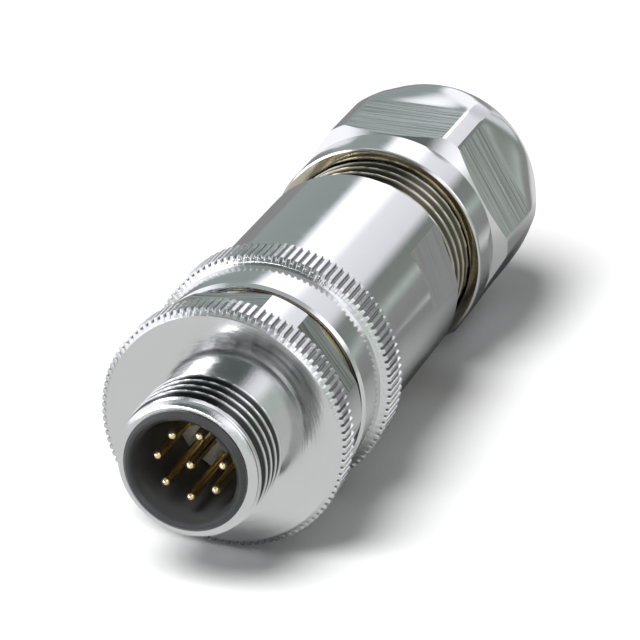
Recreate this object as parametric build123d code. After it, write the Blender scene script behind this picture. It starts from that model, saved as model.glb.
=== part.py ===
from build123d import *
import os
from math import cos, pi, radians, sin

# A field-wired M12 plug with eight pins, a coupling nut that turns freely, a housing
# sleeve that unscrews for wiring and a cable gland with a pressure nut.
# Millimetres. Y is the axis: the mating face looks to -Y, the cable leaves to +Y.
# The origin is the centre of the M12 thread's inner end. Z is up, and the pressure
# nut lies with one wrench flat upward and one downward.

# Fits
running_clearance = 0.06
seat_clearance = 0.03
face_clearance = 0.05

# M12 nose of the coupling nut
m12_major_d = 11.94
thread_length = 4.1
lead_in_length = 1.2
lead_in_d = 11.6
lead_in_chamfer = 0.35
relief_length = 2.2
relief_d = 11.0
nose_bore_d = 10.0

# Knurled rings of the coupling nut and of the front body
knurl_d = 20.6
knurl_depth = 0.28
knurl_ribs = 104
knurl_chamfer = 0.6
front_knurl_width = 2.45
rear_knurl_width = 3.2

# Coupling nut behind its knurl
flange_thickness = 1.2
spigot_setback = 0.2
coupling_hex_length = 3.85
coupling_wall = 1.5
coupling_corner = 0.6
coupling_hex_turn = -7.5
edge_chamfer = 0.25

# Front body
spigot_d = 15.0
turning_gap = 0.8
band_length = 3.8
lip_face = 1.7
lip_bevel = 0.3
body_bore_d = 12.5
carrier_stop_length = 1.8
body_thread_d = 15.8
body_thread_length = 6.4

# Rings that hold the coupling nut and the contact carrier
retaining_ring_width = 0.9
retaining_ring_reach = 0.6
retaining_ring_offset = 2.9
ring_slit = 1.6
slip_ring_width = 0.6
slip_ring_reach = 1.2
lock_ring_width = 0.9
lock_ring_reach = 0.45
lock_ring_offset = 2.1

# Contact carrier, its cavity and the pins
collar_reach = 0.5
collar_d = 10.2
cavity_d = 8.6
cavity_depth = 9.5
mouth_round = 0.3
key_width = 1.3
key_height = 0.6
key_root = 0.3
key_setback = 0.8
key_angle = 49.0
pin_circle_d = 5.5
pin_gap_angle = 64.2
ring_pins = 7
pin_d = 0.8
pin_setback = 1.2
pin_shank_d = 1.5
pin_front_wall = 0.9
holder_plate = 1.2
holder_island = 0.9
holder_island_across = 6.6
holder_well_d = 1.5
holder_well_depth = 0.7

# Screw terminals behind the front body
terminal_length = 6.0
terminal_inner_r = 1.9
terminal_outer_r = 5.05
terminal_inner_width = 1.5
terminal_outer_width = 2.6
terminal_d = 3.2
terminal_setback = 0.4
terminal_lead = 3.0
centre_terminal_length = 4.0
carrier_lip = 0.2
wire_hole_d = 1.1
wire_hole_r = 3.4
wire_hole_depth = 4.2
centre_wire_hole_depth = 3.0
screw_setback = 1.8
screw_d = 1.4
screw_length = 1.4
screw_slot = 0.3
screw_well_d = 1.6
weld_depth = 0.1
terminal_carrier_d = 11.4

# O-rings
seal_wire_d = 0.85
seal_groove_width = 1.15
carrier_seal_offset = 2.6
sleeve_seal_offset = 0.4

# Housing sleeve
sleeve_d = 18.6
sleeve_length = 17.9
sleeve_chamber_d = 14.0
web_lip = 0.9
web_thickness = 1.0
web_room = 0.5
chamber_lead = 0.4
wrench_flat_across = 17.7
wrench_flat_length = 7.0
wrench_flat_turn = 68.5
gland_thread_d = 16.8
gland_thread_length = 10.5
gland_relief_length = 0.8
gland_relief_depth = 0.5
gland_bore_d = 13.6

# Pieces in the gland
cable_hole_d = 8.6
shield_ring_length = 3.0
shield_cone_wall = 0.55
braid_room = 0.3
shield_flange = 0.8
seal_length = 3.4
gland_travel = 3.6
washer_thickness = 0.6
cage_ring_length = 1.8
cage_fingers = 8
cage_slit = 0.7
cage_cone_gap = 0.3
cage_cone_share = 0.8

# Pressure nut
exposed_thread = 5.1
nut_collar_d = 19.2
nut_collar_length = 3.7
nut_mouth_d = 17.3
nut_mouth_depth = 0.5
nut_groove_d = 18.6
nut_groove_length = 0.25
nut_cone_length = 0.85
nut_corner_d = 21.1
nut_across_flats = 19.0
nut_flat_end = 11.7
dome_start = 10.9
dome_radius = 17.0
dome_angle = 27.3
rim_radius = 3.0
rim_angle = 50.0
nut_thread_room = 9.9
nut_cage_room = 5.0
nut_cone_run = 3.4
nut_room_reach = 0.2
nut_hole_d = 9.2

# Places along the axis
nose_y = -(thread_length + lead_in_length)
flange_y = relief_length
front_knurl_end_y = flange_y + front_knurl_width
nut_rear_y = front_knurl_end_y + coupling_hex_length
lip_y = nut_rear_y + turning_gap
rear_knurl_y = lip_y + band_length
shoulder_y = rear_knurl_y + rear_knurl_width
body_end_y = shoulder_y + body_thread_length
spigot_y = flange_y + flange_thickness + spigot_setback
carrier_stop_y = spigot_y + carrier_stop_length
mouth_y = nose_y - collar_reach
floor_y = mouth_y + cavity_depth
terminal_y = body_end_y - terminal_lead
terminal_end_y = terminal_y + terminal_length
centre_terminal_y = terminal_end_y + terminal_setback
centre_terminal_end_y = centre_terminal_y + centre_terminal_length
carrier_end_y = centre_terminal_end_y + carrier_lip
lock_ring_y = shoulder_y + lock_ring_offset
seal_y = carrier_stop_y + carrier_seal_offset
shank_y = floor_y + holder_plate + pin_front_wall
sleeve_y = shoulder_y + face_clearance
sleeve_rear_y = shoulder_y + sleeve_length
gland_thread_end_y = sleeve_rear_y + gland_thread_length
web_y = carrier_end_y + web_room
gland_seat_y = web_y + web_thickness
cable_seal_y = gland_seat_y + shield_ring_length + braid_room + shield_flange
washer_y = cable_seal_y + seal_length + gland_travel
cage_y = washer_y + washer_thickness
nut_mouth_y = sleeve_rear_y + exposed_thread
nut_shoulder_y = nut_mouth_y + nut_thread_room
nut_cone_y = nut_shoulder_y + nut_cage_room
cage_end_y = nut_cone_y + cage_cone_share * nut_cone_run

# Radii that several pieces share
spigot_bore_r = nose_bore_d / 2
neck_r = spigot_bore_r - running_clearance
cavity_r = cavity_d / 2
pin_circle_r = pin_circle_d / 2
carrier_r = body_bore_d / 2 - seat_clearance
terminal_carrier_r = terminal_carrier_d / 2
gland_bore_r = gland_bore_d / 2
gland_piece_r = gland_bore_r - face_clearance
cable_hole_r = cable_hole_d / 2
ring_groove_r = spigot_d / 2 - retaining_ring_reach
nut_bore_r = spigot_d / 2 + running_clearance
coupling_flat_r = spigot_d / 2 + coupling_wall
lip_r = spigot_d / 2 + lip_face
nut_room_r = gland_bore_r + nut_room_reach
shield_taper = (gland_piece_r - cable_hole_r - braid_room - shield_cone_wall) / 2
well_r = screw_well_d / 2
screw_y = terminal_end_y - screw_setback
centre_screw_y = centre_terminal_y + centre_terminal_length / 2

# Pin places: seven on the circle, with the wide gap at the key, and one in the middle
pin_step = (360 - pin_gap_angle) / (ring_pins - 1)
pin_angles = [key_angle + pin_gap_angle / 2 + pin_step * i for i in range(ring_pins)]


def turned(*outline):
    """A turned solid from (radius, y) points."""
    return revolve(make_face(Polyline(*outline, close=True)), Axis.Y)


def tube(inner_r, outer_r, y0, y1):
    return turned((inner_r, y0), (outer_r, y0), (outer_r, y1), (inner_r, y1))


def rod(radius, y0, y1):
    return turned((0, y0), (radius, y0), (radius, y1), (0, y1))


def across(y):
    """The plane across the axis at y: its first direction is up, its second is to the right."""
    return Plane(origin=(0, y, 0), x_dir=(0, 0, 1), z_dir=(0, 1, 0))


def at_angle(angle, shape):
    """Turn a shape built on the upper side round the axis."""
    return Rot(0, angle, 0) * shape


def at_pin(angle, shape):
    """Move a shape built on the axis to a pin's place."""
    return at_angle(angle, Pos(0, 0, pin_circle_r) * shape)


def o_ring(inner_r, y):
    """A rubber ring whose groove has inner_r as its floor."""
    wire_r = seal_wire_d / 2
    section = Pos(inner_r + wire_r + seat_clearance, y) * Circle(wire_r)
    return revolve(section, Axis.Y)


def split_ring(inner_r, outer_r, y0, y1, slit, angle):
    """A flat ring cut through at one place, so that it springs."""
    ring = tube(inner_r, outer_r, y0, y1)
    cut = Pos(0, (y0 + y1) / 2, outer_r) * Box(slit, 2 * (y1 - y0), 2 * outer_r)
    return ring - at_angle(angle, cut)


def knurled(y0, y1, inner_r):
    """A ring with straight ribs and both ends chamfered."""
    crest_r = knurl_d / 2
    points = []
    for i in range(2 * knurl_ribs):
        r = crest_r - knurl_depth * (i % 2)
        a = pi * i / knurl_ribs
        points.append((r * cos(a), r * sin(a)))
    ribs = extrude(make_face(across(y0) * Polyline(*points, close=True)), y1 - y0)
    land_r = crest_r - knurl_chamfer
    blank = turned(
        (inner_r, y0),
        (land_r, y0),
        (crest_r, y0 + knurl_chamfer),
        (crest_r, y1 - knurl_chamfer),
        (land_r, y1),
        (inner_r, y1),
    )
    return ribs & blank


def hexagon_bar(flat_r, corner_r, y0, y1, turn):
    """A turned bar with six milled flats, one facing up before it is turned."""
    flats = across(y0) * RegularPolygon(flat_r, 6, major_radius=False, rotation=30)
    bar = turned(
        (0, y0),
        (corner_r, y0),
        (corner_r, y1 - edge_chamfer),
        (corner_r - edge_chamfer, y1),
        (0, y1),
    )
    return at_angle(turn, extrude(flats, y1 - y0)) & bar


def coupling_nut():
    """Threaded nose, knurled flange and wrench hexagon in one turned piece."""
    thread_r = m12_major_d / 2
    nose = turned(
        (0, nose_y),
        (lead_in_d / 2 - 2 * lead_in_chamfer, nose_y),
        (lead_in_d / 2, nose_y + lead_in_chamfer),
        (lead_in_d / 2, -thread_length - 0.15),
        (thread_r, -thread_length),
        (thread_r, 0),
        (relief_d / 2, 0.25),
        (relief_d / 2, flange_y + 0.1),
        (0, flange_y + 0.1),
    )
    flange = knurled(flange_y, front_knurl_end_y, 0)
    hexagon = hexagon_bar(
        coupling_flat_r,
        coupling_flat_r + coupling_corner,
        front_knurl_end_y,
        nut_rear_y,
        coupling_hex_turn,
    )
    ring_y = spigot_y + retaining_ring_offset
    hollow = turned(
        (0, nose_y),
        (spigot_bore_r, nose_y),
        (spigot_bore_r, flange_y + flange_thickness),
        (nut_bore_r, flange_y + flange_thickness),
        (nut_bore_r, ring_y - 0.1),
        (ring_groove_r + 2 * retaining_ring_reach + 0.15, ring_y - 0.1),
        (ring_groove_r + 2 * retaining_ring_reach + 0.15, ring_y + retaining_ring_width + 0.1),
        (nut_bore_r, ring_y + retaining_ring_width + 0.1),
        (nut_bore_r, nut_rear_y),
        (0, nut_rear_y),
    )
    return nose + flange + hexagon - hollow


def retaining_ring():
    """Spring ring in the spigot's groove that lets the coupling nut turn and holds it on."""
    y0 = spigot_y + retaining_ring_offset
    outer_r = ring_groove_r + 2 * retaining_ring_reach
    return split_ring(
        ring_groove_r + seat_clearance, outer_r, y0, y0 + retaining_ring_width, ring_slit, 180
    )


def slip_ring():
    """Brass ring that shows in the gap between the coupling nut and the front body."""
    return tube(spigot_d / 2 + seat_clearance, spigot_d / 2 + slip_ring_reach, lip_y - slip_ring_width, lip_y)


def front_body():
    """Spigot for the coupling nut, smooth band, knurled ring and thread for the sleeve."""
    thread_r = body_thread_d / 2
    spigot_r = spigot_d / 2
    ring_y = spigot_y + retaining_ring_offset
    groove_y = shoulder_y + sleeve_seal_offset
    turned_form = turned(
        (0, spigot_y),
        (spigot_r - edge_chamfer, spigot_y),
        (spigot_r, spigot_y + edge_chamfer),
        (spigot_r, ring_y - face_clearance),
        (ring_groove_r, ring_y - face_clearance),
        (ring_groove_r, ring_y + retaining_ring_width + face_clearance),
        (spigot_r, ring_y + retaining_ring_width + face_clearance),
        (spigot_r, lip_y),
        (lip_r, lip_y),
        (lip_r + lip_bevel, lip_y + lip_bevel),
        (lip_r + lip_bevel, shoulder_y),
        (thread_r, shoulder_y),
        (thread_r, groove_y),
        (thread_r - seal_wire_d, groove_y),
        (thread_r - seal_wire_d, groove_y + seal_groove_width),
        (thread_r, groove_y + seal_groove_width),
        (thread_r, body_end_y - 0.4),
        (thread_r - 0.4, body_end_y),
        (0, body_end_y),
    )
    bore = turned(
        (0, spigot_y),
        (spigot_bore_r, spigot_y),
        (spigot_bore_r, carrier_stop_y),
        (body_bore_d / 2, carrier_stop_y),
        (body_bore_d / 2, lock_ring_y),
        (body_bore_d / 2 + lock_ring_reach, lock_ring_y),
        (body_bore_d / 2 + lock_ring_reach, lock_ring_y + lock_ring_width + face_clearance),
        (body_bore_d / 2, lock_ring_y + lock_ring_width + face_clearance),
        (body_bore_d / 2, body_end_y),
        (0, body_end_y),
    )
    return turned_form + knurled(rear_knurl_y, shoulder_y, body_bore_d / 2) - bore


def sleeve_seal():
    y = shoulder_y + sleeve_seal_offset + seal_groove_width / 2
    return o_ring(body_thread_d / 2 - seal_wire_d, y)


def carrier_seal():
    return o_ring(carrier_r - seal_wire_d, seal_y)


def lock_ring():
    """Spring ring that stops the contact carrier from behind."""
    return split_ring(
        terminal_carrier_r + face_clearance,
        body_bore_d / 2 + lock_ring_reach - seat_clearance,
        lock_ring_y + seat_clearance,
        lock_ring_y + lock_ring_width,
        ring_slit,
        0,
    )


def terminal_form(clearance):
    """Wedge-shaped block of a ring terminal, on the upper side."""
    inner = terminal_inner_width / 2 + clearance
    outer = terminal_outer_width / 2 + clearance
    low_r = terminal_inner_r - clearance
    high_r = terminal_outer_r + clearance
    outline = Polyline((low_r, -inner), (high_r, -outer), (high_r, outer), (low_r, inner), close=True)
    return extrude(make_face(across(terminal_y) * outline), terminal_length + clearance)


def screw_rod(radius, r0, r1, y):
    """A radial rod on the upper side, from radius r0 to radius r1."""
    return Pos(0, y, (r0 + r1) / 2) * Cylinder(radius, r1 - r0)


def pin_rod():
    """Round-nosed pin with the thicker shank that the carrier holds."""
    tip_y = mouth_y + pin_setback
    pin_r = pin_d / 2
    shank_r = pin_shank_d / 2
    outline = [
        JernArc((0, tip_y), (1, 0), pin_r, 90),
        Polyline(
            (pin_r, tip_y + pin_r),
            (pin_r, shank_y),
            (shank_r, shank_y),
            (shank_r, terminal_y + weld_depth),
            (0, terminal_y + weld_depth),
            (0, tip_y),
        ),
    ]
    return revolve(make_face(outline), Axis.Y)


def ring_contact(angle):
    """One of the seven outer contacts: pin, shank and clamp block."""
    block = terminal_form(0)
    block -= Pos(0, 0, wire_hole_r) * rod(
        wire_hole_d / 2, terminal_end_y - wire_hole_depth, terminal_end_y
    )
    block -= screw_rod(screw_d / 2 + seat_clearance, wire_hole_r, terminal_outer_r + 0.1, screw_y)
    return at_pin(angle, pin_rod()) + at_angle(angle, block)


def centre_contact():
    """The middle contact, whose clamp block sits behind the ring of blocks."""
    end_y = centre_terminal_end_y
    block = rod(terminal_d / 2, centre_terminal_y, end_y)
    block -= rod(wire_hole_d / 2, end_y - centre_wire_hole_depth, end_y)
    block -= at_angle(
        key_angle, screw_rod(screw_d / 2 + seat_clearance, 0, terminal_d, centre_screw_y)
    )
    return pin_rod() + rod(pin_shank_d / 2, terminal_y, centre_terminal_y) + block


def terminal_screws():
    """Eight grub screws, each with a slot in its outer end."""
    screws = []
    slot = Box(2 * screw_d, screw_slot, 2 * screw_slot)
    for angle in pin_angles:
        top_r = wire_hole_r + wire_hole_d / 2 + screw_length
        screw = screw_rod(screw_d / 2, top_r - screw_length, top_r, screw_y)
        screws.append(at_angle(angle, screw - Pos(0, screw_y, top_r) * slot))
    top_r = wire_hole_d / 2 + screw_length
    screw = screw_rod(screw_d / 2, top_r - screw_length, top_r, centre_screw_y)
    screws.append(at_angle(key_angle, screw - Pos(0, centre_screw_y, top_r) * slot))
    return Compound(children=screws)


def contact_carrier():
    """Black insulator: collar and cavity in front, sealed body, terminal block behind."""
    body = turned(
        (0, mouth_y),
        (collar_d / 2 - mouth_round, mouth_y),
        (collar_d / 2, mouth_y + mouth_round),
        (collar_d / 2, nose_y - face_clearance),
        (neck_r, nose_y - face_clearance),
        (neck_r, carrier_stop_y + face_clearance),
        (carrier_r, carrier_stop_y + face_clearance),
        (carrier_r, seal_y - seal_groove_width / 2),
        (carrier_r - seal_wire_d, seal_y - seal_groove_width / 2),
        (carrier_r - seal_wire_d, seal_y + seal_groove_width / 2),
        (carrier_r, seal_y + seal_groove_width / 2),
        (carrier_r, lock_ring_y),
        (terminal_carrier_r, lock_ring_y),
        (terminal_carrier_r, carrier_end_y - 0.4),
        (terminal_carrier_r - 0.4, carrier_end_y),
        (0, carrier_end_y),
    )
    cavity = turned(
        (0, mouth_y),
        (cavity_r + mouth_round, mouth_y),
        (cavity_r, mouth_y + mouth_round),
        (cavity_r, floor_y + holder_plate),
        (0, floor_y + holder_plate),
    )
    key_length = floor_y - face_clearance - mouth_y - key_setback
    key_y = floor_y - face_clearance - key_length / 2
    key_r = cavity_r + (key_root - key_height) / 2
    key = Pos(0, key_y, key_r) * Box(key_width, key_length, key_height + key_root)
    for angle in pin_angles:
        body -= at_pin(angle, rod(pin_d / 2 + seat_clearance, floor_y, shank_y))
        body -= at_pin(angle, rod(pin_shank_d / 2 + seat_clearance, shank_y - seat_clearance, terminal_y))
        body -= at_angle(angle, terminal_form(seat_clearance))
        body -= at_angle(angle, Pos(0, 0, wire_hole_r) * rod(wire_hole_d / 2, terminal_end_y, carrier_end_y))
        body -= at_angle(angle, screw_rod(well_r, terminal_outer_r, carrier_r, screw_y))
    body -= rod(pin_d / 2 + seat_clearance, floor_y, shank_y)
    body -= rod(pin_shank_d / 2 + seat_clearance, shank_y - seat_clearance, centre_terminal_y)
    body -= rod(terminal_d / 2 + seat_clearance, centre_terminal_y - seat_clearance, carrier_end_y)
    body -= at_angle(key_angle, screw_rod(well_r, 0, carrier_r, centre_screw_y))
    return body - cavity + at_angle(key_angle, key)


def pin_holder():
    """Grey plate on the cavity's floor, with a six-sided island and a well round each pin."""
    top_y = floor_y - holder_island
    plate = rod(cavity_r - seat_clearance, floor_y, floor_y + holder_plate - seat_clearance)
    outline = across(top_y) * RegularPolygon(
        holder_island_across / 2, 6, major_radius=False, rotation=key_angle + 30
    )
    plate += extrude(outline, holder_island)
    for angle in pin_angles:
        plate -= at_pin(angle, rod(pin_d / 2 + seat_clearance, top_y, floor_y + holder_plate))
        plate -= at_pin(angle, rod(holder_well_d / 2, top_y, top_y + holder_well_depth))
    plate -= rod(pin_d / 2 + seat_clearance, top_y, floor_y + holder_plate)
    return plate - rod(holder_well_d / 2, top_y, top_y + holder_well_depth)


def housing_sleeve():
    """Polished sleeve: inner thread in front, web, wrench flats and gland thread behind."""
    sleeve_r = sleeve_d / 2
    thread_r = gland_thread_d / 2
    relief_r = thread_r - gland_relief_depth
    form = turned(
        (0, sleeve_y),
        (sleeve_r, sleeve_y),
        (sleeve_r, sleeve_rear_y - 0.3),
        (sleeve_r - 0.3, sleeve_rear_y),
        (relief_r, sleeve_rear_y),
        (relief_r, sleeve_rear_y + gland_relief_length),
        (thread_r, sleeve_rear_y + gland_relief_length + 0.3),
        (thread_r, gland_thread_end_y - 0.5),
        (thread_r - 0.5, gland_thread_end_y),
        (0, gland_thread_end_y),
    )
    body_r = body_thread_d / 2 + running_clearance
    chamber_y = body_end_y + chamber_lead
    hollow = turned(
        (0, sleeve_y),
        (body_r, sleeve_y),
        (body_r, chamber_y),
        (sleeve_chamber_d / 2, chamber_y),
        (sleeve_chamber_d / 2, web_y),
        (gland_bore_r - web_lip, web_y),
        (gland_bore_r - web_lip, gland_seat_y),
        (gland_bore_r, gland_seat_y),
        (gland_bore_r, gland_thread_end_y),
        (0, gland_thread_end_y),
    )
    depth = sleeve_r - wrench_flat_across / 2
    cutter = Box(sleeve_d, wrench_flat_length, 2 * depth)
    flat_y = sleeve_rear_y - wrench_flat_length / 2
    form -= hollow
    for turn in (wrench_flat_turn, wrench_flat_turn + 180):
        form -= at_angle(turn, Pos(0, flat_y, sleeve_r) * cutter)
    return form


def shield_ring():
    """Metal ring with an inner taper, against which the cable's braid is pressed."""
    end_y = gland_seat_y + shield_ring_length
    narrow_r = gland_piece_r - 2 * shield_taper
    return turned(
        (narrow_r, gland_seat_y + face_clearance),
        (gland_piece_r, gland_seat_y + face_clearance),
        (gland_piece_r, end_y),
        (narrow_r + shield_taper, end_y),
    )


def shield_cone():
    """Metal cone that spreads the braid inside the shield ring."""
    y0 = gland_seat_y + 0.4
    y1 = gland_seat_y + shield_ring_length + braid_room
    narrow_r = gland_piece_r - 2 * shield_taper - braid_room
    return turned(
        (cable_hole_r, y0),
        (narrow_r, y0),
        (narrow_r + shield_taper, y1),
        (gland_piece_r, y1),
        (gland_piece_r, y1 + shield_flange),
        (cable_hole_r, y1 + shield_flange),
    )


def cable_seal():
    """Rubber sleeve that the gland squeezes on the cable."""
    y0 = cable_seal_y
    y1 = y0 + seal_length
    return turned(
        (cable_hole_r, y0),
        (gland_piece_r - edge_chamfer, y0),
        (gland_piece_r, y0 + edge_chamfer),
        (gland_piece_r, y1 - edge_chamfer),
        (gland_piece_r - edge_chamfer, y1),
        (cable_hole_r, y1),
    )


def thrust_washer():
    return tube(cable_hole_r, gland_piece_r, washer_y, cage_y)


def clamp_cage():
    """Plastic cage: a ring and eight fingers that the nut's inner cone closes on the cable."""
    cone_slope = (nut_room_r - nut_hole_d / 2) / nut_cone_run
    finger_r = nut_room_r - cage_cone_gap
    end_r = finger_r - cone_slope * (cage_end_y - nut_cone_y)
    cage = turned(
        (cable_hole_r, cage_y),
        (gland_piece_r, cage_y),
        (gland_piece_r, cage_y + cage_ring_length),
        (finger_r, cage_y + cage_ring_length + 0.2),
        (finger_r, nut_cone_y),
        (end_r, cage_end_y),
        (cable_hole_r, cage_end_y),
    )
    slit_y = cage_y + cage_ring_length + 0.6
    slit = Pos(0, (slit_y + cage_end_y + 1) / 2, nut_room_r / 2 + 1) * Box(
        cage_slit, cage_end_y + 1 - slit_y, nut_room_r
    )
    for i in range(cage_fingers):
        cage -= at_angle(360 * i / cage_fingers, slit)
    return cage


def nut_flat_cutter():
    """Removes one wrench flat above the nut, up to the wall that the cutter leaves."""
    flat_r = nut_across_flats / 2
    start_y = nut_mouth_y + nut_collar_length + 0.05
    end_y = nut_mouth_y + nut_flat_end
    cutter = Box(nut_corner_d, end_y - start_y, nut_corner_d)
    return Pos(0, (start_y + end_y) / 2, flat_r + nut_corner_d / 2) * cutter


def pressure_nut():
    """Domed nut: collar in front, six milled flats between turned corners, cable hole behind."""
    mouth_r = nut_mouth_d / 2
    collar_r = nut_collar_d / 2
    groove_r = nut_groove_d / 2
    corner_r = nut_corner_d / 2
    thread_r = gland_thread_d / 2 + running_clearance
    collar_y = nut_mouth_y + nut_collar_length
    cone_y = collar_y + nut_groove_length
    dome_y = nut_mouth_y + dome_start
    dome = JernArc((corner_r, dome_y), (0, 1), dome_radius, dome_angle)
    rim = JernArc(dome @ 1, dome % 1, rim_radius, rim_angle)
    rim_end = rim @ 1
    end_y = rim_end.Y
    hole_r = nut_hole_d / 2
    outline = [
        Polyline(
            (rim_end.X, rim_end.Y),
            (hole_r + 0.4, end_y),
            (hole_r, end_y - 0.4),
            (hole_r, nut_cone_y + nut_cone_run),
            (nut_room_r, nut_cone_y),
            (nut_room_r, nut_shoulder_y),
            (thread_r, nut_shoulder_y),
            (thread_r, nut_mouth_y + nut_mouth_depth),
            (mouth_r, nut_mouth_y),
            (collar_r - 0.2, nut_mouth_y),
            (collar_r, nut_mouth_y + 0.2),
            (collar_r, collar_y - 0.15),
            (collar_r - 0.15, collar_y),
            (groove_r, collar_y),
            (groove_r, cone_y),
            (corner_r, cone_y + nut_cone_length),
            (corner_r, dome_y),
        ),
        dome,
        rim,
    ]
    nut = revolve(make_face(outline), Axis.Y)
    cutter = nut_flat_cutter()
    for i in range(6):
        nut -= at_angle(60 * i, cutter)
    return nut


parts = {
    "coupling_nut": coupling_nut(),
    "retaining_ring": retaining_ring(),
    "slip_ring": slip_ring(),
    "front_body": front_body(),
    "sleeve_seal": sleeve_seal(),
    "carrier_seal": carrier_seal(),
    "lock_ring": lock_ring(),
    "contact_carrier": contact_carrier(),
    "pin_holder": pin_holder(),
    "terminal_screws": terminal_screws(),
    "contact_pin_centre": centre_contact(),
    "housing_sleeve": housing_sleeve(),
    "shield_ring": shield_ring(),
    "shield_cone": shield_cone(),
    "cable_seal": cable_seal(),
    "thrust_washer": thrust_washer(),
    "clamp_cage": clamp_cage(),
    "pressure_nut": pressure_nut(),
}
for number, angle in enumerate(pin_angles, start=1):
    parts["contact_pin_%d" % number] = ring_contact(angle)

os.makedirs("parts", exist_ok=True)
for name, shape in parts.items():
    export_step(shape, "parts/%s.step" % name)
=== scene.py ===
import bmesh
import bpy
from math import atan2, ceil, cos, pi, radians, sin
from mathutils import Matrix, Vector


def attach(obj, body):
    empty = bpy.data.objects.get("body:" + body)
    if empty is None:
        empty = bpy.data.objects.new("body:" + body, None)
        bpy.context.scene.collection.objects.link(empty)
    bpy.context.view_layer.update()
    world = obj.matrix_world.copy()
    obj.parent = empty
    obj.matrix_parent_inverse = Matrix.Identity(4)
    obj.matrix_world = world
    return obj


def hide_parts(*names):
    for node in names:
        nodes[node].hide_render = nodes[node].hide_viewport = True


# An M12 plug with its threads, knurls, wrench flats and finishes, built round the packed
# model. The pieces' lengths are millimetres and become metres where a mesh is made; those
# in the finishes and the studio are metres, unless they say otherwise. Y is the plug's
# axis, Z is up, and angles round the axis go from +Z towards +X.
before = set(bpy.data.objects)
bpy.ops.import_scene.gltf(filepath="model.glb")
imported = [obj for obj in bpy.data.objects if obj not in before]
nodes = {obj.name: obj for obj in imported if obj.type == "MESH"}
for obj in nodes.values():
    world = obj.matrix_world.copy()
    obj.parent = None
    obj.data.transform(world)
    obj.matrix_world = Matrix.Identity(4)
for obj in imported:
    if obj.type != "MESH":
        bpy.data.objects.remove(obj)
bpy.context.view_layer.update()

# Nose of the coupling nut. Brass bar turned on a lathe and nickel plated: a lead-in, the
# M12 thread with 1 mm pitch and a relief groove behind it. Its bore turns on the black
# carrier's neck.
MM = 0.001


def along(radius, y0, y1, step):
    """Points of a straight turned stretch, close enough together to carry a thread."""
    count = ceil(abs(y1 - y0) / step)
    return [(radius, y0 + (y1 - y0) * i / count) for i in range(count + 1)]


def turned(name, outline, segments):
    """A closed turned mesh from the (radius, y) points all round its section."""
    ahead = outline[1:] + outline[:1]
    if sum(r0 * y1 - r1 * y0 for (r0, y0), (r1, y1) in zip(outline, ahead)) < 0:
        outline = outline[::-1]
    circle = [(sin(2 * pi * i / segments), cos(2 * pi * i / segments)) for i in range(segments)]
    points = [(r * s * MM, y * MM, r * c * MM) for r, y in outline for s, c in circle]
    faces = []
    for row in range(len(outline)):
        here = row * segments
        there = (row + 1) % len(outline) * segments
        for i in range(segments):
            j = (i + 1) % segments
            faces.append((here + i, here + j, there + j, there + i))
    mesh = bpy.data.meshes.new(name)
    mesh.from_pydata(points, [], faces)
    piece = bpy.data.objects.new(name, mesh)
    bpy.context.scene.collection.objects.link(piece)
    return piece


def add(tree, kind, *sources, **settings):
    """A node whose inputs take the sources in order; None leaves an input as it is."""
    node = tree.nodes.new(kind)
    for key, value in settings.items():
        setattr(node, key, value)
    for socket, source in zip(node.inputs, sources):
        if isinstance(source, bpy.types.NodeSocket):
            tree.links.new(source, socket)
        elif source is not None:
            socket.default_value = source
    return node.outputs[0]


def calc(tree, operation, *sources):
    """One step of arithmetic."""
    return add(tree, "ShaderNodeMath", *sources, operation=operation)


def parts(tree, vector):
    """The x, y and z of a vector."""
    split = tree.nodes.new("ShaderNodeSeparateXYZ")
    tree.links.new(vector, split.inputs[0])
    return split.outputs


def from_axis(tree, x, z):
    """Distance from the plug's axis."""
    squares = [calc(tree, "MULTIPLY", part, part) for part in (x, z)]
    return calc(tree, "SQRT", calc(tree, "ADD", *squares))


def new_tree(name, inputs):
    """A geometry tree with a mesh input and named inputs, and its group input node."""
    tree = bpy.data.node_groups.new(name, "GeometryNodeTree")
    tree.interface.new_socket("Geometry", in_out="OUTPUT", socket_type="NodeSocketGeometry")
    tree.interface.new_socket("Geometry", in_out="INPUT", socket_type="NodeSocketGeometry")
    for title, kind in inputs:
        tree.interface.new_socket(title, in_out="INPUT", socket_type="NodeSocket" + kind)
    return tree, tree.nodes.new("NodeGroupInput").outputs


def end_tree(tree, geometry, material, where=None):
    """Realize Instances and Set Material, on all faces or some, and the tree's output."""
    geometry = add(tree, "GeometryNodeRealizeInstances", geometry)
    shown = tree.nodes.new("GeometryNodeSetMaterial")
    tree.links.new(geometry, shown.inputs["Geometry"])
    tree.links.new(material, shown.inputs["Material"])
    if where:
        tree.links.new(where, shown.inputs["Selection"])
    out = tree.nodes.new("NodeGroupOutput")
    tree.links.new(shown.outputs[0], out.inputs[0])


def apply_tree(piece, tree, values):
    """Run a geometry tree on a piece and keep the result as its plain mesh."""
    modifier = piece.modifiers.new(tree.name, "NODES")
    modifier.node_group = tree
    for item in tree.interface.items_tree:
        if item.in_out == "INPUT" and item.name in values:
            modifier[item.identifier] = values[item.name]
    shaped = piece.evaluated_get(bpy.context.evaluated_depsgraph_get())
    mesh = bpy.data.meshes.new_from_object(shaped)
    piece.modifiers.remove(modifier)
    old = piece.data
    piece.data = mesh
    bpy.data.meshes.remove(old)


def smooth(piece, angle):
    """Smooth shading, with edges sharper than the angle left crisp."""
    piece.data.shade_smooth()
    piece.data.set_sharp_from_angle(angle=radians(angle))


def polar(tree):
    """Radius, angle and y of each point in millimetres and radians, and its place."""
    place = add(tree, "GeometryNodeInputPosition")
    x, y, z = parts(tree, place)
    radius = calc(tree, "DIVIDE", from_axis(tree, x, z), MM)
    return radius, calc(tree, "ARCTAN2", x, z), calc(tree, "DIVIDE", y, MM), place


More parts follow.
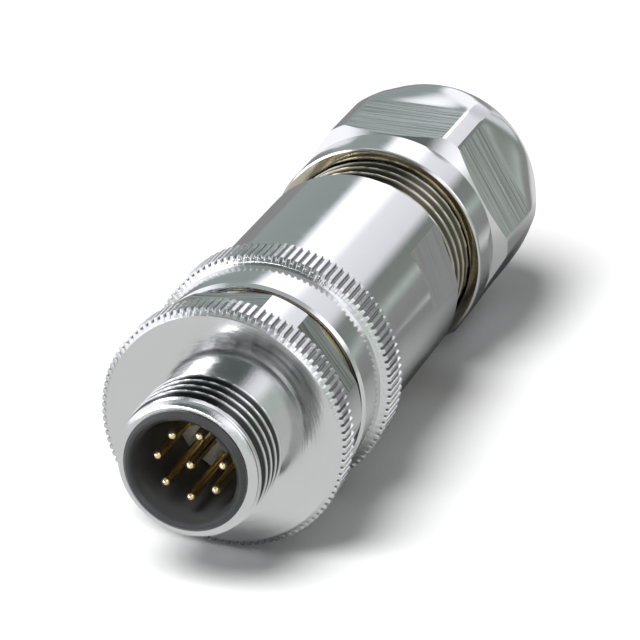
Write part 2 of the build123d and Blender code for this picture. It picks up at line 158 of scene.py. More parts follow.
def put_radius(tree, given, place, radius, floor, where):
    """Bring the chosen points in to the floor's radius, note how far, and end the tree."""
    lowered = calc(tree, "SUBTRACT", radius, calc(tree, "MINIMUM", radius, floor))
    noted = tree.nodes.new("GeometryNodeStoreNamedAttribute")
    noted.inputs["Name"].default_value = "cut"
    tree.links.new(given["Geometry"], noted.inputs["Geometry"])
    tree.links.new(where, noted.inputs["Selection"])
    tree.links.new(calc(tree, "DIVIDE", lowered, given["Depth"]), noted.inputs["Value"])
    ratio = calc(tree, "DIVIDE", calc(tree, "MINIMUM", radius, floor), radius)
    scale = add(tree, "ShaderNodeCombineXYZ", ratio, 1.0, ratio)
    moved = add(tree, "ShaderNodeVectorMath", place, scale, operation="MULTIPLY")
    shaped = tree.nodes.new("GeometryNodeSetPosition")
    tree.links.new(noted.outputs[0], shaped.inputs["Geometry"])
    tree.links.new(where, shaped.inputs["Selection"])
    tree.links.new(moved, shaped.inputs["Position"])
    end_tree(tree, shaped.outputs[0], given["Material"])


def thread_tree():
    """Cuts a right-hand thread into what stands outside its root. Its flanks stand at
    about 60 degrees, and it fades out over the run-out at both ends."""
    tree, given = new_tree("Thread", [
        ("Major radius", "Float"), ("Pitch", "Float"), ("Depth", "Float"), ("Start", "Float"),
        ("End", "Float"), ("Run-out", "Float"), ("Material", "Material"),
    ])
    radius, angle, y, place = polar(tree)
    turn = calc(tree, "DIVIDE", angle, 2 * pi)
    phase = calc(tree, "FRACT", calc(tree, "SUBTRACT", calc(tree, "DIVIDE", y, given["Pitch"]), turn))
    ridge = calc(tree, "ABSOLUTE", calc(tree, "SUBTRACT", calc(tree, "MULTIPLY", phase, 2.0), 1.0))
    crest_share, root_share = 0.12, 0.8
    cut = add(tree, "ShaderNodeMapRange", ridge, crest_share, root_share, 0.0, 1.0)
    runs = []
    for low, high in ((given["Start"], y), (y, given["End"])):
        runs.append(calc(tree, "DIVIDE", calc(tree, "SUBTRACT", high, low), given["Run-out"]))
    fade = calc(tree, "MINIMUM", *runs)
    fade = add(tree, "ShaderNodeClamp", fade, 0.0, 1.0)
    reach = calc(tree, "MAXIMUM", calc(tree, "SUBTRACT", calc(tree, "ADD", cut, fade), 1.0), 0.0)
    depth = calc(tree, "MULTIPLY", reach, given["Depth"])
    floor = calc(tree, "SUBTRACT", given["Major radius"], depth)
    root = calc(tree, "SUBTRACT", given["Major radius"], given["Depth"])
    outer = calc(tree, "GREATER_THAN", radius, root)
    outer = calc(tree, "MULTIPLY", outer, calc(tree, "GREATER_THAN", fade, 0.0))
    put_radius(tree, given, place, radius, floor, outer)
    return tree


def finish_of(name, color, roughness, metallic):
    """A material with one shader, and its tree."""
    material = bpy.data.materials.new(name)
    material.use_nodes = True
    material.diffuse_color = (*color, 1)
    tree = material.node_tree
    shader = tree.nodes["Principled BSDF"]
    shader.inputs["Base Color"].default_value = (*color, 1)
    shader.inputs["Roughness"].default_value = roughness
    shader.inputs["Metallic"].default_value = metallic
    return material, tree, shader


def object_place(tree):
    """The shaded point's place on its object."""
    return tree.nodes.new("ShaderNodeTexCoord").outputs["Object"]


def turning_place(tree, swirl):
    """Radius, y and angle as one vector, so that a pattern on it runs round the axis."""
    x, y, z = parts(tree, object_place(tree))
    angle = calc(tree, "MULTIPLY", calc(tree, "ARCTAN2", x, z), swirl)
    return add(tree, "ShaderNodeCombineXYZ", from_axis(tree, x, z), y, angle)


def noise(tree, place, size, detail):
    """Noise with features of that size in metres."""
    out = tree.nodes.new("ShaderNodeTexNoise")
    tree.links.new(place, out.inputs["Vector"])
    out.inputs["Scale"].default_value = 1 / size
    out.inputs["Detail"].default_value = detail
    return out.outputs[0]


def relief(tree, shader, height, depth):
    """Bump of that depth in metres on the shader's normal, on top of what is there."""
    bump = tree.nodes.new("ShaderNodeBump")
    bump.inputs["Distance"].default_value = depth
    tree.links.new(height, bump.inputs["Height"])
    if shader.inputs["Normal"].is_linked:
        tree.links.new(shader.inputs["Normal"].links[0].from_socket, bump.inputs["Normal"])
    tree.links.new(bump.outputs[0], shader.inputs["Normal"])


def shade(tree, shader, color, share):
    """Make the shader's colour a share of the given one."""
    tint = add(tree, "ShaderNodeVectorMath", color, None, None, share, operation="SCALE")
    tree.links.new(tint, shader.inputs["Base Color"])


NICKEL = (0.74, 0.745, 0.745)


def turned_nickel(name, roughness, lines, grain, color=NICKEL, groove_shade=None, rim_r=0):
    """Nickel over turned brass, with the tool's lines round the axis and a grain, each by
    its size and depth in metres. Painted shade darkens its colour in the grooves, from one
    depth of cut to another, by an amount. Inside rim_r, in millimetres, there is little grain."""
    material, tree, shader = finish_of(name, color, roughness, 1.0)
    # Painted shade: the colour darkens towards the floor of the grooves, by the depth of cut.
    if groove_shade:
        cut = tree.nodes.new("ShaderNodeAttribute")
        cut.attribute_name = "cut"
        start, end, amount = groove_shade
        painted_shading = add(tree, "ShaderNodeMapRange", cut.outputs["Fac"], start, end, 1.0, 1.0 - amount)
        shade(tree, shader, color, painted_shading)
    line_size, line_depth = lines
    rings = noise(tree, turning_place(tree, 0.15 * line_size), line_size, 2.0)
    relief(tree, shader, rings, line_depth)
    grain_size, grain_depth = grain
    rough = noise(tree, object_place(tree), grain_size, 2.0)
    if rim_r:
        radius = parts(tree, turning_place(tree, 0.0))[0]
        rolled = add(tree, "ShaderNodeMapRange", radius, (rim_r - 0.03) * MM, rim_r * MM, 0.12, 1.0)
        rough = calc(tree, "MULTIPLY", rough, rolled)
    relief(tree, shader, rough, grain_depth)
    patch_size = 0.0012
    patches = noise(tree, turning_place(tree, 0.002), patch_size, 2.0)
    wear = add(tree, "ShaderNodeMapRange", patches, 0.35, 0.65, 0.7 * roughness, 1.3 * roughness)
    tree.links.new(wear, shader.inputs["Roughness"])
    return material


THREAD = thread_tree()
# Painted shade darkens the nose thread's grooves.
NOSE_NICKEL = turned_nickel(
    "nickel_nose", 0.15, (1.5e-4, 3e-6), (1.6e-4, 1.0e-5), groove_shade=(0.04, 0.25, 0.93),
)
nose_bore_r = 5.0
nose_thread_r = 5.97
lead_in_r = 5.8
relief_r = 5.5
nose_y = -5.3
nose_rear_y = 2.3
thread_step = 0.036
nose = turned("coupling_nut_nose", [
    (nose_bore_r, nose_y), (5.3, nose_y), (5.55, -5.2), (lead_in_r, -4.95),
    *along(lead_in_r, -4.9, -4.25, thread_step), *along(nose_thread_r, -4.1, 0, thread_step),
    (relief_r, 0.25), (relief_r, nose_rear_y), (nose_bore_r, nose_rear_y),
], 256)
apply_tree(nose, THREAD, {
    "Major radius": nose_thread_r, "Pitch": 1.0, "Depth": 0.6, "Start": -5.1, "End": 0.3,
    "Run-out": 0.7, "Material": NOSE_NICKEL,
})
smooth(nose, 40)
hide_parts("coupling_nut")
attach(nose, "coupling_nut")

# Knurled flange of the coupling nut, the ring that the fingers turn. Straight ribs are
# rolled into the rim behind a smooth bevelled ring, with a small chamfer at their rear,
# and the faced front shows the tool's circles.
KNURL_RIBS = 104
RIB_POINTS = 14
RIB_DEPTH = 0.28


def knurl_tree():
    """Presses straight grooves between ribs into a rim."""
    tree, given = new_tree("Knurl", [
        ("Crest radius", "Float"), ("Depth", "Float"), ("Ribs", "Float"), ("Material", "Material"),
    ])
    radius, angle, _, place = polar(tree)
    turns = calc(tree, "DIVIDE", angle, 2 * pi)
    phase = calc(tree, "FRACT", calc(tree, "MULTIPLY", turns, given["Ribs"]))
    away = calc(tree, "ABSOLUTE", calc(tree, "SUBTRACT", calc(tree, "MULTIPLY", phase, 2.0), 1.0))
    crest_share, floor_share = 0.42, 0.78
    cut = add(tree, "ShaderNodeMapRange", away, crest_share, floor_share, 0.0, 1.0)
    cut.node.interpolation_type = "SMOOTHSTEP"
    floor = calc(tree, "SUBTRACT", given["Crest radius"], calc(tree, "MULTIPLY", cut, given["Depth"]))
    put_radius(tree, given, place, radius, floor, calc(tree, "GREATER_THAN", radius, 0.0))
    return tree


KNURL = knurl_tree()
# Painted shade darkens the grooves between the knurl's ribs.
KNURL_NICKEL = turned_nickel(
    "nickel_knurl", 0.15, (2.0e-4, 6e-6), (2.0e-4, 2.5e-5), groove_shade=(0.35, 1.0, 0.65), rim_r=9.75,
)


def knurled(name, crest_r, land_r, y0, y1, inner):
    """A rim with ribs behind a smooth bevelled ring; inner closes its section inside."""
    bevel = 0.3
    rear_chamfer = 0.12
    rib_end = [(crest_r - 0.04, y0 + 0.42), (crest_r, y0 + 0.47)]
    front = [(land_r, y0), (crest_r - bevel, y0 + bevel), *rib_end]
    back = [(crest_r - rear_chamfer * i / 2, y1 - rear_chamfer * (1 - i / 2)) for i in range(3)]
    rim = turned(name, [*inner, *front, *back], KNURL_RIBS * RIB_POINTS)
    apply_tree(rim, KNURL, {
        "Crest radius": crest_r, "Depth": RIB_DEPTH, "Ribs": float(KNURL_RIBS),
        "Material": KNURL_NICKEL,
    })
    smooth(rim, 38)
    return rim


knurl_r = 10.3
flange_land_r = 9.7
flange_bore_r = 5.02
coupling_bore_r = 7.56
flange_y = 2.2
flange_rear_y = 3.4
front_knurl_end = 4.65
flange = knurled("coupling_nut_flange", knurl_r, flange_land_r, flange_y, front_knurl_end, [
    (coupling_bore_r, front_knurl_end), (coupling_bore_r, flange_rear_y),
    (flange_bore_r, flange_rear_y), (flange_bore_r, flange_y),
])
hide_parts("coupling_nut")
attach(flange, "coupling_nut")

# Hexagon of the coupling nut, for an 18 mm spanner. Six flats milled on the turned rear
# of the nut, with strips of the round bar left at the corners.


def flats_tree():
    """Mills flats round the axis: cutters stand in a ring and are taken from the piece."""
    tree, given = new_tree("Wrench flats", [
        ("Cutter", "Object"), ("Flats", "Int"), ("First angle", "Float"), ("Flat radius", "Float"),
        ("Material", "Material"), ("Milled", "Material"),
    ])
    place = tree.nodes.new("GeometryNodeMeshLine")
    place.mode = "OFFSET"
    tree.links.new(given["Flats"], place.inputs["Count"])
    place.inputs["Offset"].default_value = (0, 0, 0)
    info = tree.nodes.new("GeometryNodeObjectInfo")
    tree.links.new(given["Cutter"], info.inputs["Object"])
    index = add(tree, "GeometryNodeInputIndex")
    share = calc(tree, "DIVIDE", index, given["Flats"])
    angle = calc(tree, "ADD", calc(tree, "MULTIPLY", share, 2 * pi), given["First angle"])
    turn = add(tree, "ShaderNodeCombineXYZ", 0.0, angle, 0.0)
    ring = tree.nodes.new("GeometryNodeInstanceOnPoints")
    tree.links.new(place.outputs[0], ring.inputs["Points"])
    tree.links.new(info.outputs["Geometry"], ring.inputs["Instance"])
    tree.links.new(turn, ring.inputs["Rotation"])
    cut = tree.nodes.new("GeometryNodeMeshBoolean")
    cut.operation = "DIFFERENCE"
    cut.solver = "EXACT"
    tree.links.new(given["Geometry"], cut.inputs["Mesh 1"])
    tree.links.new(add(tree, "GeometryNodeRealizeInstances", ring.outputs[0]), cut.inputs["Mesh 2"])
    turned_look = tree.nodes.new("GeometryNodeSetMaterial")
    tree.links.new(cut.outputs[0], turned_look.inputs["Geometry"])
    tree.links.new(given["Material"], turned_look.inputs["Material"])
    end_tree(tree, turned_look.outputs[0], given["Milled"], on_flat(tree, given))
    return tree


def on_flat(tree, given):
    """True on faces that lie in the plane of one of the flats."""
    normal = add(tree, "GeometryNodeInputNormal")
    x, _, z = parts(tree, normal)
    turn = calc(tree, "SUBTRACT", calc(tree, "ARCTAN2", x, z), given["First angle"])
    share = calc(tree, "MULTIPLY", calc(tree, "DIVIDE", turn, 2 * pi), given["Flats"])
    off = calc(tree, "ABSOLUTE", calc(tree, "SUBTRACT", share, calc(tree, "ROUND", share)))
    place = add(tree, "GeometryNodeInputPosition")
    distance = tree.nodes.new("ShaderNodeVectorMath")
    distance.operation = "DOT_PRODUCT"
    tree.links.new(place, distance.inputs[0])
    tree.links.new(normal, distance.inputs[1])
    distance = calc(tree, "DIVIDE", distance.outputs["Value"], MM)
    gap = calc(tree, "SUBTRACT", distance, given["Flat radius"])
    slack = 0.01
    level = calc(tree, "LESS_THAN", calc(tree, "ABSOLUTE", gap), slack)
    return calc(tree, "MULTIPLY", level, calc(tree, "LESS_THAN", off, slack))


def flat_cutter(flat_r, y0, y1, half_width):
    """A milling cutter's path above the axis: a block that reaches down to the flat."""
    top = flat_r + 4
    outline = [(y0, top), (y0, flat_r), (y1, flat_r), (y1, top)]
    points = [(side * half_width * MM, y * MM, z * MM) for side in (-1, 1) for y, z in outline]
    count = len(outline)
    faces = [tuple(range(count)), tuple(range(2 * count - 1, count - 1, -1))]
    faces += [(i, i + count, (i + 1) % count + count, (i + 1) % count) for i in range(count)]
    mesh = bpy.data.meshes.new("flat_cutter")
    mesh.from_pydata(points, [], faces)
    shape = bmesh.new()
    shape.from_mesh(mesh)
    bmesh.ops.recalc_face_normals(shape, faces=shape.faces)
    shape.to_mesh(mesh)
    shape.free()
    return bpy.data.objects.new("flat_cutter", mesh)


def mill_flats(piece, cutter, count, first, flat_r, material, milled):
    """Cut the flats and throw the cutter away."""
    apply_tree(piece, FLATS, {
        "Cutter": cutter, "Flats": count, "First angle": radians(first), "Flat radius": flat_r,
        "Material": material, "Milled": milled,
    })
    bpy.data.objects.remove(cutter)


def milled_nickel(name, roughness, lines, line_shade):
    """Nickel over a milled face: straight lines across it, by their size and depth in
    metres, with painted shade and a faint painted highlight in their colour."""
    material, tree, shader = finish_of(name, NICKEL, roughness, 1.0)
    stretch = (0.02, 1.0, 0.02)
    place = [calc(tree, "MULTIPLY", *pair) for pair in zip(parts(tree, object_place(tree)), stretch)]
    line_size, line_depth = lines
    marks = noise(tree, add(tree, "ShaderNodeCombineXYZ", *place), line_size, 3.0)
    relief(tree, shader, marks, line_depth)
    # Painted shade and highlight: the colour follows the milling lines, darker and lighter.
    painted_shading = add(tree, "ShaderNodeMapRange", marks, 0.38, 0.56, 1.0 - line_shade, 1.05)
    shade(tree, shader, NICKEL, painted_shading)
    return material


FLATS = flats_tree()
HEX_NICKEL = turned_nickel("nickel_hexagon", 0.14, (2.0e-4, 2e-6), (2.0e-4, 2e-6))
MILLED_HEX = milled_nickel("nickel_hexagon_flat", 0.15, (1.8e-4, 1.2e-5), 0.5)
hexagon_corner_r = 9.6
hexagon_flat_r = 9.0
hexagon_end = 8.5
hexagon_turn = -7.5
hexagon = turned("coupling_nut_hexagon", [
    (coupling_bore_r, front_knurl_end), (hexagon_corner_r, front_knurl_end),
    (hexagon_corner_r, 8.25), (9.35, hexagon_end), (coupling_bore_r, hexagon_end),
], 360)
hexagon_cutter = flat_cutter(hexagon_flat_r, 4.0, 9.0, 8)
mill_flats(hexagon, hexagon_cutter, 6, hexagon_turn, hexagon_flat_r, HEX_NICKEL, MILLED_HEX)
smooth(hexagon, 12)
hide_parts("coupling_nut")
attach(hexagon, "coupling_nut")

# Front body: turned brass, nickel plated. A spigot that carries the coupling nut, a
# bevelled lip, a smooth band, the second knurled ring, and behind it the thread that the
# sleeve screws on.
BAND_NICKEL = turned_nickel("nickel_band", 0.12, (2.5e-4, 1.2e-6), (2e-4, 1.2e-6))
spigot_bore_r = 5.0
spigot_r = 7.5
band_r = 9.5
carrier_bore_r = 6.25
body_thread_r = 7.9
body_thread_start = 17.9
body = turned("front_body", [
    (spigot_bore_r, 3.6), (7.25, 3.6), (spigot_r, 3.85), (spigot_r, 6.45), (6.9, 6.45), (6.9, 7.45),
    (spigot_r, 7.45), (spigot_r, 9.3), (9.2, 9.3), (9.25, 9.31), (9.49, 9.55), (band_r, 9.62),
    (band_r, 13.15), (body_thread_r, 13.15), (body_thread_r, 16.7), (7.05, 16.7), (7.05, 17.85),
    *along(body_thread_r, body_thread_start, 22.3, 0.06), (7.5, 22.7), (carrier_bore_r, 22.7),
    (carrier_bore_r, 19.35), (6.7, 19.35), (6.7, 18.4), (carrier_bore_r, 18.4),
    (carrier_bore_r, 5.4), (spigot_bore_r, 5.4),
], 256)
apply_tree(body, THREAD, {
    "Major radius": body_thread_r, "Pitch": 1.0, "Depth": 0.55, "Start": body_thread_start,
    "End": 22.8, "Run-out": 0.4, "Material": BAND_NICKEL,
})
smooth(body, 25)
rear_knurl_start = 13.1
rear_knurl_end = 16.3
rear_knurl = knurled("front_body_knurl", knurl_r, band_r, rear_knurl_start, rear_knurl_end, [
    (body_thread_r, rear_knurl_end), (body_thread_r, 13.3), (9.45, 13.3),
])
for piece in (body, rear_knurl):
    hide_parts("front_body")
    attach(piece, "connector_body")

# Small metal pieces. A brass slip ring shows in the gap behind the coupling nut; two split
# rings of spring steel hold the nut on the spigot and the carrier inside. The gland's
# thrust washer and the terminals' grub screws are steel too.


def kept_shape(node, angle):
    """The node's own shape with its triangles joined, so that round faces shade smoothly."""
    mesh = nodes[node].data.copy()
    mesh.materials.clear()
    shape = bmesh.new()
    shape.from_mesh(mesh)
    bmesh.ops.remove_doubles(shape, verts=shape.verts, dist=1e-6)
    shape.to_mesh(mesh)
    shape.free()
    piece = bpy.data.objects.new(node + "_smooth", mesh)
    bpy.context.scene.collection.objects.link(piece)
    smooth(piece, angle)
    return piece


def carry(node, body_name, material, angle=25):
    """Replace a node by its smoothly shaded shape with a finish."""
    piece = kept_shape(node, angle)
    piece.data.materials.append(material)
    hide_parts(node)
    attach(piece, body_name)


def plain_metal(name, color, roughness):
    """Metal with fine rings from the lathe."""
    material, tree, shader = finish_of(name, color, roughness, 1.0)
    rings = noise(tree, turning_place(tree, 1e-5), 6e-5, 2.0)
    relief(tree, shader, rings, 1.5e-6)
    return material


BRASS = plain_metal("brass", (0.55, 0.46, 0.30), 0.25)
SPRING = plain_metal("spring_steel", (0.46, 0.46, 0.47), 0.25)
carry("slip_ring", "connector_body", BRASS)
carry("retaining_ring", "connector_body", SPRING)
carry("lock_ring", "connector_body", SPRING)
carry("thrust_washer", "clamp_cage", SPRING)
carry("terminal_screws", "connector_body", SPRING)

# Contact carrier, moulded in black plastic: a satin collar in front of the nose, a deep
# round cavity with the coding key, and the block that holds the contacts behind. The grey
# pin holder lies on the cavity's floor, and the gland's cage is of the same black plastic.


def moulded(name, color, roughness, sheen_size, depth):
    """Moulded plastic or rubber: a skin with a fine even grain and slow changes of gloss."""
    material, tree, shader = finish_of(name, color, roughness, 0.0)
    place = object_place(tree)
    relief(tree, shader, noise(tree, place, 1.0e-4, 3.0), depth)
    gloss = noise(tree, place, sheen_size, 2.0)
    spread = add(tree, "ShaderNodeMapRange", gloss, 0.3, 0.7, 0.85 * roughness, 1.15 * roughness)
    tree.links.new(spread, shader.inputs["Roughness"])
    return material


BLACK = moulded("black_insulator", (0.040, 0.041, 0.043), 0.36, 1.5e-3, 1.5e-6)
GREY = moulded("grey_insulator", (0.88, 0.88, 0.86), 0.40, 1.0e-3, 1.5e-6)
carry("contact_carrier", "connector_body", BLACK)
carry("pin_holder", "connector_body", GREY)
carry("clamp_cage", "clamp_cage", BLACK)

# Contacts: turned brass pins with round noses, gold plated, with the clamp block of the
# screw terminal on the rear of each. Seven stand on a circle and one in the middle.


def gold_finish():
    """Gold over turned brass, its colour darker down the shank than at the tip."""
    color = (0.90, 0.73, 0.42)
    material, tree, shader = finish_of("gold", color, 0.18, 1.0)
    place = object_place(tree)
    y = parts(tree, place)[1]
    tip_end, shank_start = -0.0041, -0.0026
    bright = add(tree, "ShaderNodeMapRange", y, tip_end, shank_start, 1.0, 0.75)
    shade(tree, shader, color, bright)
    relief(tree, shader, noise(tree, place, 1.2e-4, 2.0), 1.5e-6)
    return material


GOLD = gold_finish()
for name in [n for n in nodes if n.startswith("contact_pin_")]:
    carry(name, "connector_body", GOLD, 35)

# Seals, moulded in black rubber: the O-rings on the carrier and on the front body, and
# the sleeve that the gland presses on the cable.
RUBBER = moulded("black_rubber", (0.018, 0.018, 0.018), 0.62, 1.0e-3, 3e-6)
carry("sleeve_seal", "connector_body", RUBBER)
carry("carrier_seal", "connector_body", RUBBER)
carry("cable_seal", "cable_clamp", RUBBER)

# Shield clamp: a ring and a cone, turned from brass and nickel plated, that hold the
# cable's braid between them in front of the seal.
SHIELD_NICKEL = turned_nickel("nickel_shield", 0.22, (8e-5, 1e-6), (1.5e-4, 1e-6))
carry("shield_ring", "cable_clamp", SHIELD_NICKEL)
carry("shield_cone", "cable_clamp", SHIELD_NICKEL)

# Housing sleeve: a polished, nickel plated tube with two milled flats at its rear for a
# spanner, and the gland thread with 1.25 mm pitch turned in one piece behind it.
SLEEVE_NICKEL = turned_nickel("nickel_polished", 0.10, (3e-4, 1.0e-6), (2.5e-4, 8e-7))
SLEEVE_FLAT = milled_nickel("nickel_sleeve_flat", 0.16, (2.0e-4, 2e-6), 0.1)
sleeve_r = 9.3
sleeve_bore_r = 7.96
sleeve_chamber_r = 7.0
sleeve_flat_r = 8.85
sleeve_flat_turn = 68.5
sleeve_y = 16.35
sleeve_rear_y = 34.2
gland_bore_r = 6.8
gland_relief_r = 7.9
sleeve = turned("housing_sleeve", [
    (sleeve_bore_r, sleeve_y), (9.2, sleeve_y), (sleeve_r, 16.45), (sleeve_r, 33.9),
    (9.0, sleeve_rear_y), (gland_relief_r, sleeve_rear_y), (gland_bore_r, sleeve_rear_y),
    (gland_bore_r, 31.8), (5.9, 31.8), (5.9, 30.8), (sleeve_chamber_r, 30.8),
    (sleeve_chamber_r, 23.1), (sleeve_bore_r, 23.1),
], 256)
sleeve_cutter = flat_cutter(sleeve_flat_r, 27.2, 36.0, 6)
mill_flats(sleeve, sleeve_cutter, 2, sleeve_flat_turn, sleeve_flat_r, SLEEVE_NICKEL, SLEEVE_FLAT)
smooth(sleeve, 6)
# The gland thread's darker, warmer colour is a painted warm reflection on nickel, and its grooves get
# painted shade.
GLAND_NICKEL = turned_nickel(
    "nickel_gland_thread", 0.18, (1.5e-4, 3e-6), (1.5e-4, 8e-6),
    color=(0.56, 0.53, 0.43), groove_shade=(0.03, 0.25, 0.85),
)
gland_r = 8.4
gland_end = 44.7
gland = turned("gland_thread", [
    (gland_bore_r, sleeve_rear_y), (gland_relief_r, sleeve_rear_y), (gland_relief_r, 35.0),
    *along(gland_r, 35.3, 44.2, 0.045), (gland_relief_r, gland_end), (gland_bore_r, gland_end),
], 192)
apply_tree(gland, THREAD, {
    "Major radius": gland_r, "Pitch": 1.25, "Depth": 0.7, "Start": 34.9, "End": 44.8,
    "Run-out": 0.5, "Material": GLAND_NICKEL,
})
smooth(gland, 40)
for piece, slot_name in ((sleeve, "nickel_polished"), (gland, "nickel_satin")):
    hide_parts("housing_sleeve")
    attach(piece, "housing_sleeve")

# Pressure nut of the gland: turned brass, nickel plated, with a smooth collar, a short cone
# up to the corners, six milled flats, and a dome that rises from them to the cable hole.
# It screws on the sleeve.
NUT_NICKEL = turned_nickel("nickel_pressure_nut", 0.12, (2.5e-4, 1.5e-6), (2.0e-4, 1.5e-6))
MILLED_NUT = milled_nickel("nickel_pressure_nut_flat", 0.16, (2.2e-4, 2.1e-5), 0.38)


def blend(tree, share, first, second):
    """A colour between two, by the share."""
    mix = tree.nodes.new("ShaderNodeMix")
    mix.data_type = "RGBA"
    tree.links.new(share, mix.inputs[0])
    for socket, source in ((mix.inputs[6], first), (mix.inputs[7], second)):
        if isinstance(source, tuple):
            socket.default_value = source
        else:
            tree.links.new(source, socket)
    return mix.outputs[2]


def bare_mouth(material):
    """The faced front of the nut stays tan, where hardly any nickel covers the brass."""
    tree = material.node_tree
    y = parts(tree, object_place(tree))[1]
    plated = add(tree, "ShaderNodeMapRange", y, 0.03931, 0.03934, 0.0, 1.0)
    tint = blend(tree, plated, (0.62, 0.56, 0.44, 1), (*NICKEL, 1))
    tree.links.new(tint, tree.nodes["Principled BSDF"].inputs["Base Color"])


bare_mouth(NUT_NICKEL)


def arc(centre, radius, start, end, count):
    """Points of a turned round, by angle from the radial direction towards the rear."""
    return [
        (centre[0] + radius * cos(radians(start + (end - start) * i / count)),
         centre[1] + radius * sin(radians(start + (end - start) * i / count)))
        for i in range(count + 1)
    ]


def soften_dome(piece):
    """Draw the dome in behind each flat, so that it rises from the flat without a wall."""
    dome_start = 50.0
    dome_end = 56.0
    for point in piece.data.vertices:
        x, y, z = point.co / MM
        radius = (x * x + z * z) ** 0.5
        if dome_start < y < dome_end and radius > nut_flat_r:
            off = (atan2(x, z) + pi / 6) % (pi / 3) - pi / 6
            sink = max(0.0, nut_corner_r - nut_flat_r / cos(off))
            share = 0.975 * min(1.0, (dome_end - y) / (dome_end - nut_flats_end))
            point.co.x *= 1 - sink * share / radius
            point.co.z *= 1 - sink * share / radius


nut_corner_r = 10.55
nut_flat_r = 9.5
nut_collar_r = 9.6
nut_bore_r = 8.46
nut_room_r = 7.0
nut_hole_r = 4.6
nut_mouth_y = 39.3
nut_flats_end = 51.0
nut = turned("pressure_nut", [
    (nut_bore_r, 49.2), (nut_bore_r, 39.8), (8.65, nut_mouth_y), (9.4, nut_mouth_y), (9.54, 39.36),
    (nut_collar_r, 39.5), (nut_collar_r, 42.85), (9.56, 42.96), (9.45, 43.0), (9.3, 43.0),
    (9.3, 43.25), (9.7, 43.52), (10.1, 43.79), (nut_corner_r, 44.1), (nut_corner_r, 46),
    (nut_corner_r, 48), *arc((-6.45, 50.2), 17.0, 0, 27.3, 24), *arc((5.991, 56.621), 3.0, 32, 77, 9),
    (5.0, 59.545), (nut_hole_r, 59.145), (nut_hole_r, 57.6), (nut_room_r, 54.2), (nut_room_r, 49.2),
], 360)
soften_dome(nut)
# A narrow bevel on each side of every corner, and then the flats.
bevel_turn = 12.9
bevel_r = 10.25
for turn in (-bevel_turn, bevel_turn):
    bevel_cutter = flat_cutter(bevel_r, 43.6, nut_flats_end, 4)
    mill_flats(nut, bevel_cutter, 6, turn, bevel_r, NUT_NICKEL, NUT_NICKEL)
nut_cutter = flat_cutter(nut_flat_r, 43.05, nut_flats_end, 8)
mill_flats(nut, nut_cutter, 6, 0, nut_flat_r, NUT_NICKEL, MILLED_NUT)
smooth(nut, 12)
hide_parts("pressure_nut")
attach(nut, "pressure_nut")

# Studio: a plain white table, one soft lamp from above, and a room whose walls show in the
# metal as wide soft stripes.


def table_top():
    """A large plain table. Metal sees it darker, the more so towards the back, but for a
    light patch behind the dome: painted shade and a painted highlight in its reflections.
    The camera sees it a little lighter."""
    half = 3.0
    height = -nut_corner_r * MM
    mesh = bpy.data.meshes.new("table")
    corners = [(-half, -half, height), (half, -half, height), (half, half, height), (-half, half, height)]
    mesh.from_pydata(corners, [], [(0, 1, 2, 3)])
    piece = bpy.data.objects.new("table", mesh)
    bpy.context.scene.collection.objects.link(piece)
    white = (0.88, 0.88, 0.88)
    material, tree, shader = finish_of("table_white", white, 0.9, 0.0)
    path = tree.nodes.new("ShaderNodeLightPath")
    x, y, _ = parts(tree, object_place(tree))
    # Painted reflection: darker to the metal towards the back, lighter in a patch behind the dome.
    dim = add(tree, "ShaderNodeMapRange", y, 0.0, 0.06, 0.26, 0.75)
    right = add(tree, "ShaderNodeMapRange", x, 0.025, 0.045, 0.25, 1.0)
    left = add(tree, "ShaderNodeMapRange", x, -0.015, 0.0, 1.0, 0.25)
    nearer = add(tree, "ShaderNodeMapRange", y, 0.07, 0.085, 1.0, 0.25)
    off_patch = calc(tree, "MAXIMUM", nearer, calc(tree, "MAXIMUM", left, right))
    dim = calc(tree, "MULTIPLY", dim, off_patch)
    kept = calc(tree, "SUBTRACT", 1.0, calc(tree, "MULTIPLY", dim, path.outputs["Is Glossy Ray"]))
    kept = calc(tree, "ADD", kept, calc(tree, "MULTIPLY", path.outputs["Is Camera Ray"], 0.12))
    shade(tree, shader, white, kept)
    seen = calc(tree, "MAXIMUM", path.outputs["Is Camera Ray"], path.outputs["Is Transmission Ray"])
    shader.inputs["Emission Color"].default_value = (1, 1, 1, 1)
    tree.links.new(calc(tree, "MULTIPLY", seen, 0.03), shader.inputs["Emission Strength"])
    mesh.materials.append(material)


LILAC = (0.985, 0.985, 1.04)
TEAL = (0.87, 1.0, 0.985)
OLIVE = (0.90, 1.0, 0.93)


def stripes(tree, angle, stops):
    """Brightness by angle round the plug's axis, from (degrees, brightness, tint) stops."""
    ramp = tree.nodes.new("ShaderNodeValToRGB")
    share = calc(tree, "ADD", calc(tree, "DIVIDE", angle, 2 * pi), 0.5)
    tree.links.new(share, ramp.inputs[0])
    while len(ramp.color_ramp.elements) < len(stops):
        ramp.color_ramp.elements.new(0.5)
    for element, (turn, value, tint) in zip(ramp.color_ramp.elements, stops):
        element.position = (turn + 180) / 360
        element.color = (*[value * part for part in tint], 1)
    return ramp.outputs[0]


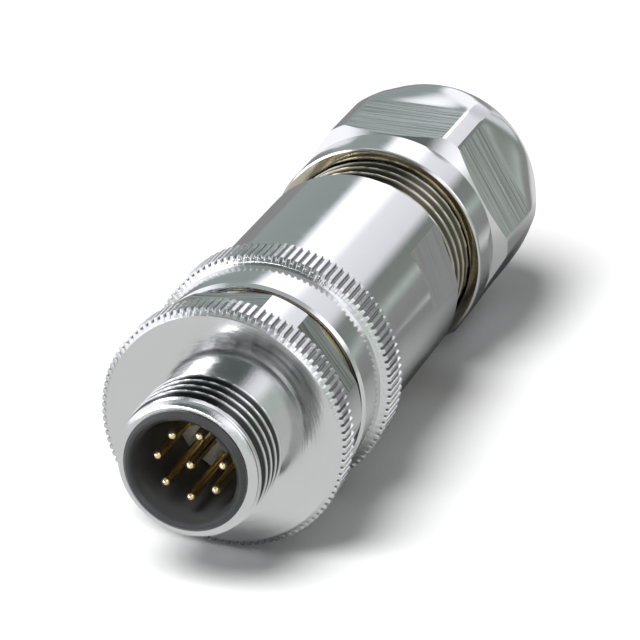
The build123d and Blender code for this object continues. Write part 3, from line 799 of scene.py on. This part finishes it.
def room():
    """The world: white to the camera, stripes to the metal and an even light to the rest.
    Four zones of stripes follow one another along Y: front, ahead, behind and rear. The
    last zone's stripes stand by X, not round the axis: its stops are 360 times x."""
    world = bpy.data.worlds.new("studio")
    bpy.context.scene.world = world
    world.use_nodes = True
    tree = world.node_tree
    x, y, z = parts(tree, tree.nodes.new("ShaderNodeTexCoord").outputs["Generated"])
    angle = calc(tree, "ARCTAN2", x, z)
    behind = stripes(tree, angle, [
        (-100, 0.24, TEAL), (-35, 0.23, TEAL), (-24, 1.0, LILAC), (2, 1.0, LILAC), (14, 0.64, LILAC),
        (46, 0.57, LILAC), (57, 0.15, OLIVE), (74, 0.17, OLIVE), (83, 0.34, OLIVE), (92, 0.19, OLIVE),
    ])
    ahead = stripes(tree, angle, [
        (-100, 0.8, LILAC), (-52, 0.8, LILAC), (-38, 0.26, TEAL), (26, 0.34, LILAC), (40, 1.0, LILAC),
        (62, 1.0, LILAC), (74, 0.30, OLIVE), (100, 0.4, OLIVE),
    ])
    front = stripes(tree, angle, [
        (-100, 4.0, LILAC), (-66, 4.0, LILAC), (-54, 0.10, TEAL), (8, 0.10, TEAL), (24, 0.7, LILAC),
        (44, 0.9, LILAC), (58, 0.45, OLIVE), (140, 0.45, OLIVE),
    ])
    rear = stripes(tree, calc(tree, "MULTIPLY", x, 2 * pi), [
        (-93, 0.24, TEAL), (-79, 0.76, LILAC), (-43, 0.75, LILAC), (-14, 0.585, LILAC), (0, 0.51, LILAC),
        (36, 0.46, LILAC), (72, 0.51, LILAC), (97, 0.43, LILAC), (108, 0.25, OLIVE), (119, 0.17, OLIVE),
    ])
    near = add(tree, "ShaderNodeMapRange", y, -0.70, -0.58, 0.0, 1.0)
    far = add(tree, "ShaderNodeMapRange", y, 0.30, 0.50, 0.0, 1.0)
    last = add(tree, "ShaderNodeMapRange", y, 0.89, 0.93, 0.0, 1.0)
    walls = blend(tree, far, blend(tree, near, front, ahead), blend(tree, last, behind, rear))
    path = tree.nodes.new("ShaderNodeLightPath")
    even_light = (0.13, 0.13, 0.13, 1)
    shown = blend(tree, path.outputs["Is Glossy Ray"], even_light, walls)
    shown = blend(tree, path.outputs["Is Camera Ray"], shown, (1, 1, 1, 1))
    background = tree.nodes["Background"]
    tree.links.new(shown, background.inputs["Color"])
    lift = calc(tree, "MULTIPLY", path.outputs["Is Glossy Ray"], 0.6)
    tree.links.new(calc(tree, "ADD", lift, 1.0), background.inputs["Strength"])


def key_lamp():
    """A wide soft lamp above, in front and a little to the left: the shadow falls behind the
    plug and to its right. Its own image doesn't show in the metal."""
    data = bpy.data.lights.new("key", "SUN")
    data.angle = radians(34)
    data.energy = 3.4
    lamp = bpy.data.objects.new("key", data)
    bpy.context.scene.collection.objects.link(lamp)
    towards_table = Vector((0.17, 0.45, -0.88))
    lamp.rotation_euler = towards_table.to_track_quat("-Z", "Y").to_euler()
    lamp.visible_glossy = False


def camera():
    """The photograph's viewpoint, with a long lens."""
    data = bpy.data.cameras.new("camera")
    data.lens = 208.9
    data.sensor_width = 36
    data.clip_start = 0.01
    data.clip_end = 20
    eye = bpy.data.objects.new("camera", data)
    bpy.context.scene.collection.objects.link(eye)
    eye.location = (0.0961, -0.2411, 0.1293)
    aim = Vector((0.00185, 0.020, 0.0021))
    eye.rotation_euler = (aim - eye.location).to_track_quat("-Z", "Y").to_euler()
    bpy.context.scene.camera = eye


table_top()
room()
key_lamp()
camera()
bpy.context.scene.view_settings.view_transform = "Standard"
